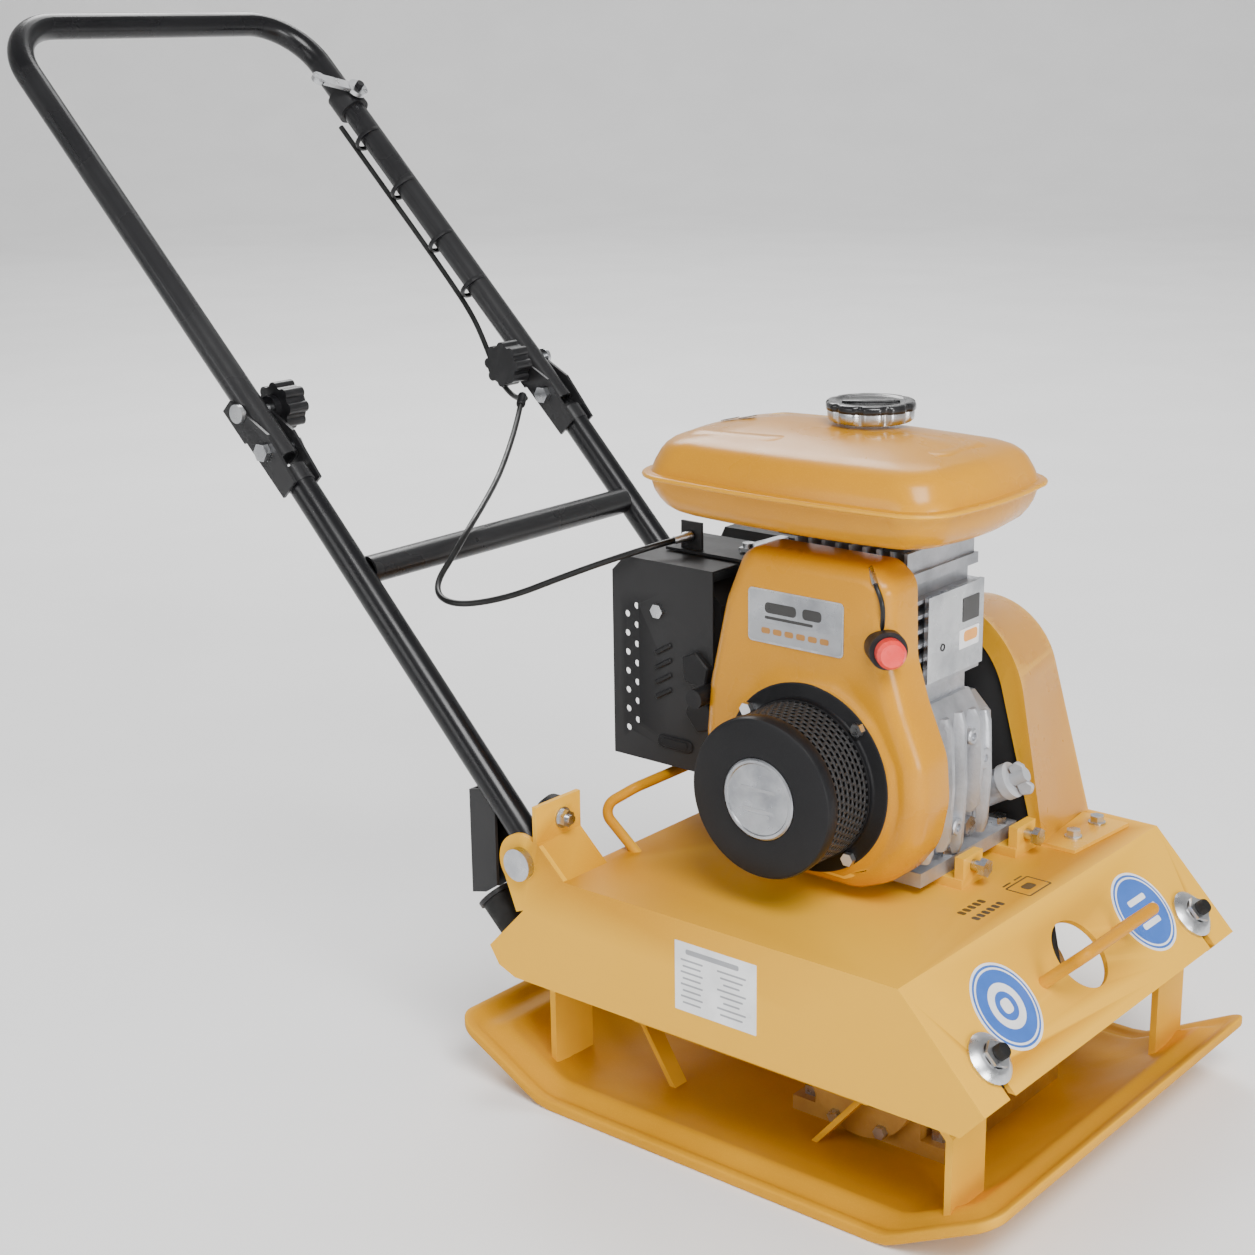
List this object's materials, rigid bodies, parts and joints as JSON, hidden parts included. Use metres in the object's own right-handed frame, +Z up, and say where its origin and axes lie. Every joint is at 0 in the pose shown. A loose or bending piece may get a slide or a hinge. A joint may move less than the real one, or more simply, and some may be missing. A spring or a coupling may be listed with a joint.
{
  "type": "plate compactor",
  "caption": "Walk-behind forward plate compactor with a small engine, belt-driven exciter and folding handle, for compacting soil, gravel and paving.",
  "frame": {"origin": "centre of the base plate's flat ground face", "axes": "+X forward (the way it travels), +Y to the belt-guard side, +Z up"},
  "size_m": [1.14, 0.428, 0.9026],
  "materials": {
    "deck_paint": "gloss yellow-orange paint",
    "cover_paint": "gloss yellow-orange paint on sheet",
    "sole_steel": "yellow-orange paint, worn bright at the lip",
    "zinc": "zinc-plated, satin",
    "machined_steel": "machined",
    "black_tube": "gloss black paint on tube",
    "black_steel": "satin black paint",
    "cast_grey": "cast, matt",
    "cast_iron_grey": "as cast",
    "black_rubber": "matt",
    "belt_rubber": "fabric-backed",
    "black_plastic": "fine grain",
    "grey_plastic": "moulded",
    "red_plastic": "moulded",
    "cap_plastic": "moulded with a plated rim",
    "cable_sheath": "extruded sheath",
    "ceramic": "glazed insulator with plated shell",
    "knob_plastic": "moulded"
  },
  "bodies": {
    "root": {"air_cleaner": "black_plastic", "base_plate": "sole_steel", "belt_guard": "cover_paint", "blower_housing": "cover_paint", "carburetor": "cast_grey", "cover_screws": "zinc", "crankcase": "cast_grey", "crankcase_cover": "cast_grey", "cylinder_baffle": "zinc", "cylinder_block": "cast_grey", "cylinder_head": "cast_grey", "deck": "deck_paint", "exciter_bearings": "machined_steel", "exciter_covers": "cast_iron_grey", "exciter_housing": "cast_iron_grey", "front_lift_bar": "deck_paint", "fuel_tank_lower": "cover_paint", "fuel_tank_upper": "cover_paint", "governor_bracket": "black_steel", "guard_back_plate": "black_steel", "hex_bolts": "zinc", "mount_brackets": "sole_steel", "muffler": "black_steel", "muffler_guard": "black_steel", "rear_guard_bar": "deck_paint", "recoil_cover": "cover_paint", "rubber_mounts": "black_rubber", "sole_braces": "sole_steel", "spark_plug": "ceramic", "stop_switch_base": "black_plastic", "tank_feet": "black_steel", "throttle_cable": "cable_sheath", "v_belt": "belt_rubber"},
    "exciter": {"eccentric_shaft": "machined_steel", "exciter_pulley": "cast_iron_grey"},
    "clutch_drum": {"clutch_drum": "machined_steel"},
    "engine_shaft": {"crankshaft": "machined_steel", "flywheel": "cast_grey", "clutch_hub": "machined_steel"},
    "piston": {"piston": "cast_grey", "connecting_rod": "cast_grey", "rod_pins": "machined_steel"},
    "starter_reel": {"recoil_reel": "black_plastic"},
    "starter_grip": {"starter_grip": "black_plastic"},
    "fuel_cap": {"fuel_cap": "cap_plastic"},
    "oil_filler_cap": {"oil_filler_cap": "grey_plastic"},
    "governor_arm": {"governor_arm": "zinc"},
    "choke_lever": {"choke_lever": "black_steel"},
    "stop_switch": {"stop_switch_knob": "red_plastic"},
    "handle": {"handle_lower": "black_tube", "buffer_plates": "black_steel", "handle_buffers": "black_rubber", "fold_bolts": "zinc"},
    "handle_top": {"handle_upper": "black_tube", "lock_bolts": "zinc", "throttle_clamp": "black_steel", "cable_on_grip": "cable_sheath"},
    "lock_knob_left": {"lock_knob_left": "knob_plastic"},
    "lock_knob_right": {"lock_knob_right": "knob_plastic"},
    "throttle_lever": {"throttle_lever": "zinc"}
  },
  "joints": [
    {"name": "exciter_spin", "type": "hinge", "parent": "root", "child": "exciter", "pos_m": [0.078, 0, 0.0625], "axis": [0, 1, 0], "continuous": true},
    {"name": "drum_spin", "type": "hinge", "parent": "root", "child": "clutch_drum", "pos_m": [0.0204, 0, 0.3081], "axis": [0, 1, 0], "continuous": true},
    {"name": "engine_spin", "type": "hinge", "parent": "root", "child": "engine_shaft", "pos_m": [0.0204, 0, 0.3081], "axis": [0, 1, 0], "continuous": true},
    {"name": "piston_stroke", "type": "slide", "parent": "root", "child": "piston", "axis": [0, 0, 1], "range_m": [-0.052, 0]},
    {"name": "reel_turn", "type": "hinge", "parent": "root", "child": "starter_reel", "pos_m": [0.0204, 0, 0.3081], "axis": [0, 1, 0], "range_deg": [0, 63.66], "stiffness_Nm_per_rad": 0.4, "springref_deg": -17.19},
    {"name": "grip_pull", "type": "slide", "parent": "root", "child": "starter_grip", "axis": [0, -1, 0], "range_m": [0, 0.05]},
    {"name": "fuel_cap_turn", "type": "hinge", "parent": "root", "child": "fuel_cap", "pos_m": [0.012, -0.004, 0.58], "axis": [0, 0, 1], "range_deg": [0, 90]},
    {"name": "oil_cap_turn", "type": "hinge", "parent": "root", "child": "oil_filler_cap", "pos_m": [0.09525, 0.0834, 0.267], "axis": [0.8602, 0.1, 0.5001], "range_deg": [0, 330]},
    {"name": "governor_swing", "type": "hinge", "parent": "root", "child": "governor_arm", "pos_m": [-0.104, -0.01, 0.46], "axis": [0, 0, 1], "range_deg": [-12, 20]},
    {"name": "choke_turn", "type": "hinge", "parent": "root", "child": "choke_lever", "pos_m": [-0.078, 0.065, 0.412], "axis": [0, -1, 0], "range_deg": [0, 50]},
    {"name": "stop_switch_turn", "type": "hinge", "parent": "root", "child": "stop_switch", "pos_m": [0.09619, -0.10194, 0.426], "axis": [0.722, -0.6919, 0], "range_deg": [0, 60]},
    {"name": "handle_rock", "type": "hinge", "parent": "root", "child": "handle", "pos_m": [-0.1923, 0, 0.2157], "axis": [0, 1, 0], "range_deg": [0, 3]},
    {"name": "handle_fold", "type": "hinge", "parent": "handle", "child": "handle_top", "pos_m": [-0.492, 0, 0.5271], "axis": [0, 1, 0], "range_deg": [0, 121]},
    {"name": "lock_left_turn", "type": "hinge", "parent": "handle_top", "child": "lock_knob_left", "pos_m": [-0.5233, 0.15, 0.55802], "axis": [0, 1, 0], "continuous": true},
    {"name": "lock_right_turn", "type": "hinge", "parent": "handle_top", "child": "lock_knob_right", "pos_m": [-0.5233, -0.15, 0.55802], "axis": [0, 1, 0], "continuous": true},
    {"name": "throttle_swing", "type": "hinge", "parent": "handle_top", "child": "throttle_lever", "pos_m": [-0.76344, 0.184, 0.8215], "axis": [0.7027, 0, 0.7114], "range_deg": [0, 60]}
  ],
  "couplings": [
    {"joint": "drum_spin", "follows": "exciter_spin", "ratio": 0.85965},
    {"joint": "grip_pull", "follows": "reel_turn", "m_per_rad": 0.045}
  ]
}
